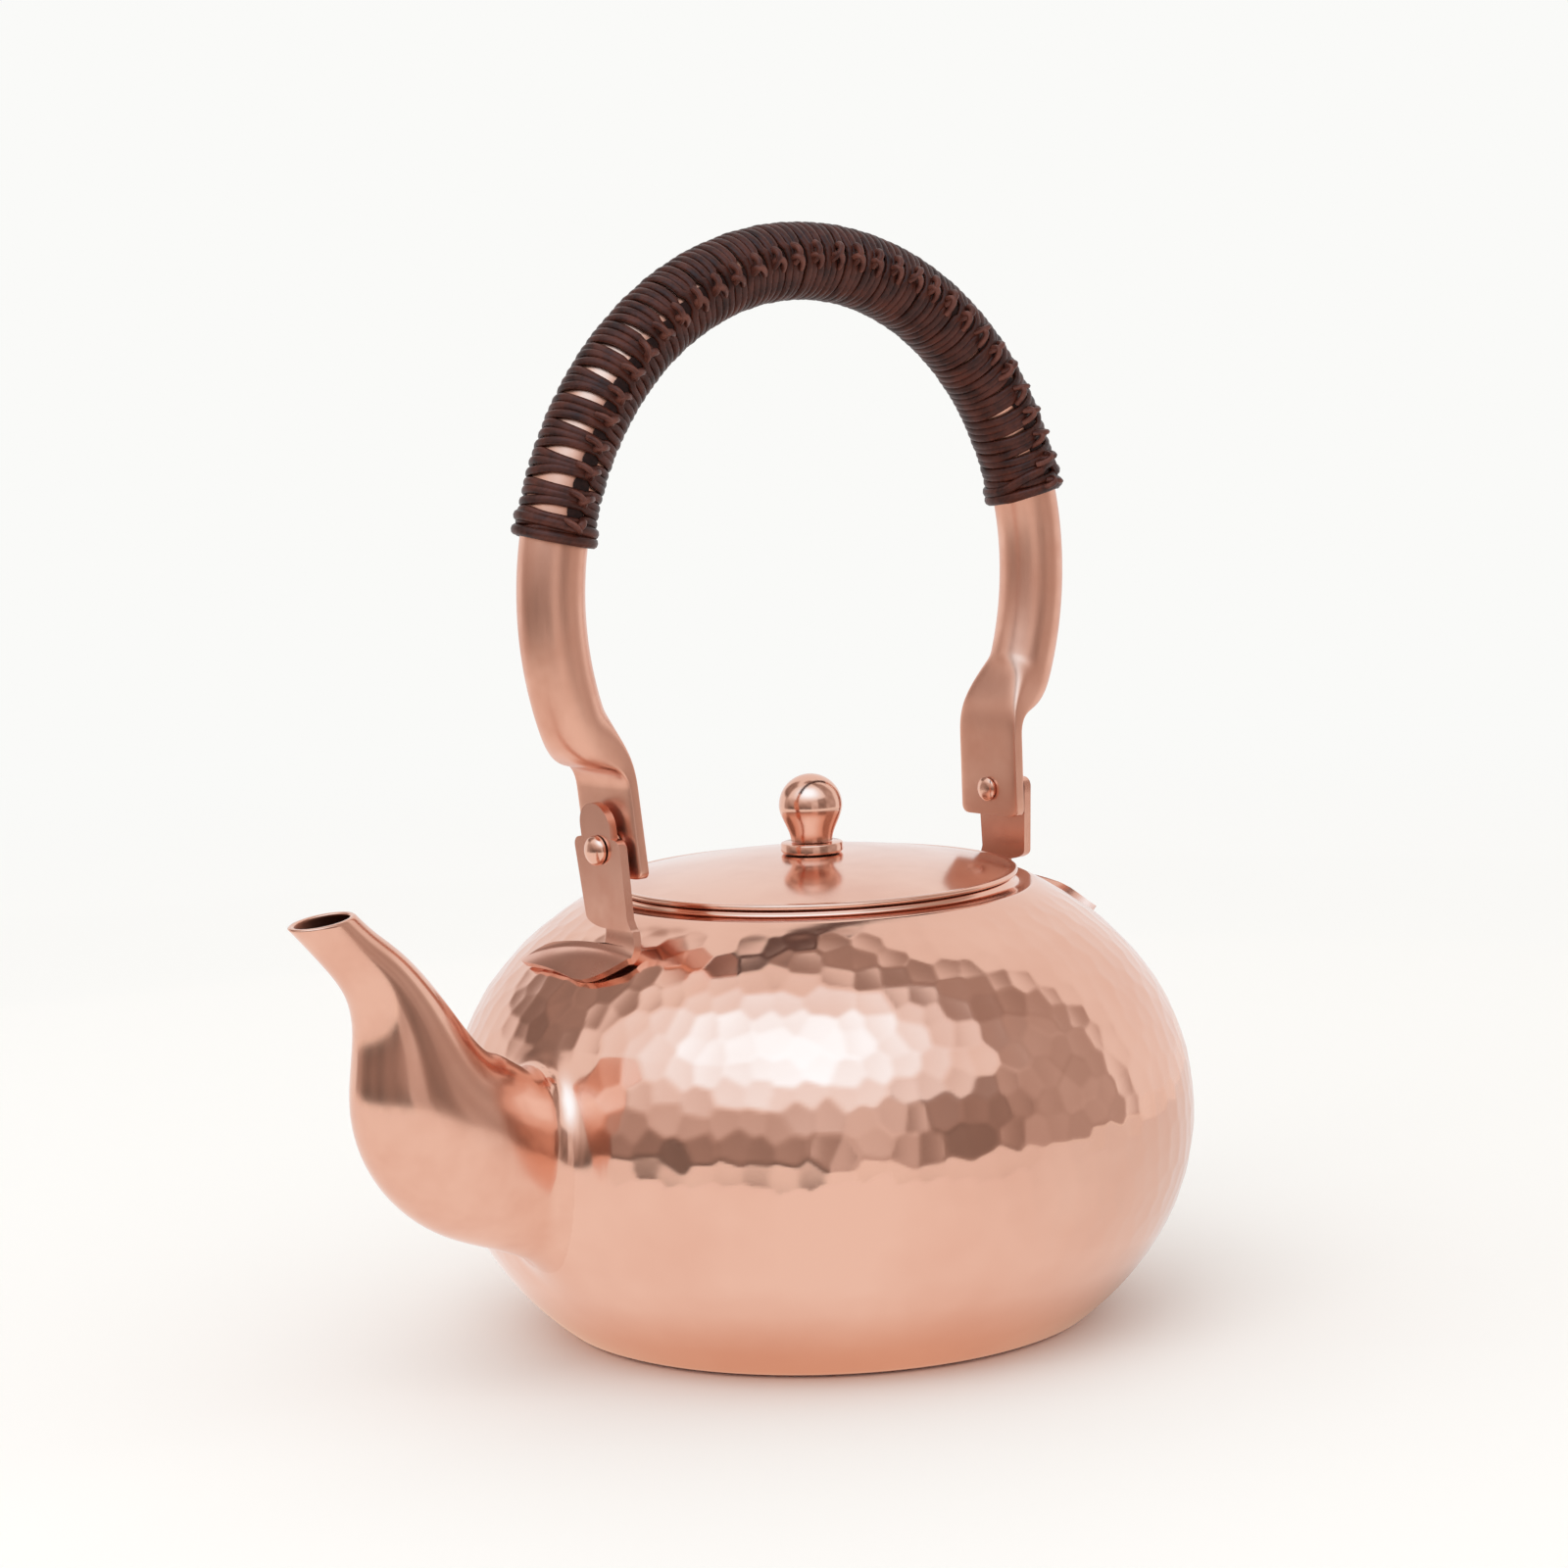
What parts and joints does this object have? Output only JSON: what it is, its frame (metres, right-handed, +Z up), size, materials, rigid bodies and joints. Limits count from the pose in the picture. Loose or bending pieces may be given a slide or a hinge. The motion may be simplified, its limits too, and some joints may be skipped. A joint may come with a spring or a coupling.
{
  "type": "copper tea kettle",
  "caption": "Round hammered copper tea kettle with a goose-neck spout, a lift-off lid with a ball knob and a tall swinging bail handle wrapped in cord.",
  "frame": {"origin": "centre of the flat base, on the surface that the kettle stands on", "axes": "+Z up, -X towards the spout, the handle stands in the plane of X and Z"},
  "size_m": [0.2218, 0.165, 0.2418],
  "materials": {
    "hammered_copper": "hammered and polished",
    "polished_copper": "polished",
    "satin_copper": "satin",
    "waxed_cord": "waxed flat cord"
  },
  "bodies": {
    "kettle": {"body_shell": "hammered_copper", "spout": "polished_copper", "front_ear": "satin_copper", "front_rivet": "polished_copper", "front_pivot_washer": "satin_copper", "rear_ear": "satin_copper", "rear_rivet": "polished_copper", "rear_pivot_washer": "satin_copper"},
    "handle": {"handle_tube": "satin_copper", "grip_wrap": "waxed_cord"},
    "lid": {"lid_cap": "polished_copper", "lid_flange": "polished_copper", "knob_collar": "polished_copper", "lid_knob": "polished_copper", "knob_burr": "satin_copper"}
  },
  "joints": [
    {"name": "handle_swing", "type": "hinge", "parent": "kettle", "child": "handle", "pos_m": [0, 0, 0.11157], "axis": [1, 0, 0], "range_deg": [-122, 122]},
    {"name": "lid_lift", "type": "slide", "parent": "kettle", "child": "lid", "axis": [0, 0, 1], "range_m": [0, 0.08]}
  ]
}
